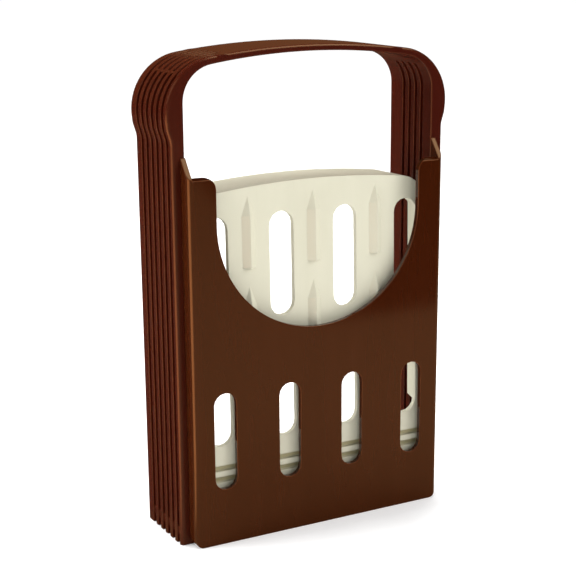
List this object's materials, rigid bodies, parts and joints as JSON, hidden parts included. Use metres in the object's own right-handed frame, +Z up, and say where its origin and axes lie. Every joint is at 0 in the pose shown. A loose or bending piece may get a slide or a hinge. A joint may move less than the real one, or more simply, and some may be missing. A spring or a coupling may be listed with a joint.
{
  "type": "bread slicing guide",
  "caption": "Folding bread slicing guide: a slotted arch that leads the knife, a stop plate with a hand scoop and a loaf tray that folds up between the legs.",
  "frame": {"origin": "middle of the footprint on the table", "axes": "+Z up, +X across to the right as seen from the stop plate, +Y from the stop plate to the back of the arch"},
  "size_m": [0.1438, 0.0444, 0.2228],
  "materials": {
    "arch_plastic": "smooth moulded, brown",
    "plate_plastic": "smooth moulded, brown",
    "tray_plastic": "satin moulded, cream"
  },
  "bodies": {
    "guide": {"knife_guide_arch": "arch_plastic", "stop_plate": "plate_plastic"},
    "tray": {"loaf_tray": "tray_plastic"}
  },
  "joints": [
    {"name": "tray_fold", "type": "hinge", "parent": "guide", "child": "tray", "pos_m": [0, -0.0076, 0.0172], "axis": [-1, 0, 0], "range_deg": [0, 88.6]}
  ]
}
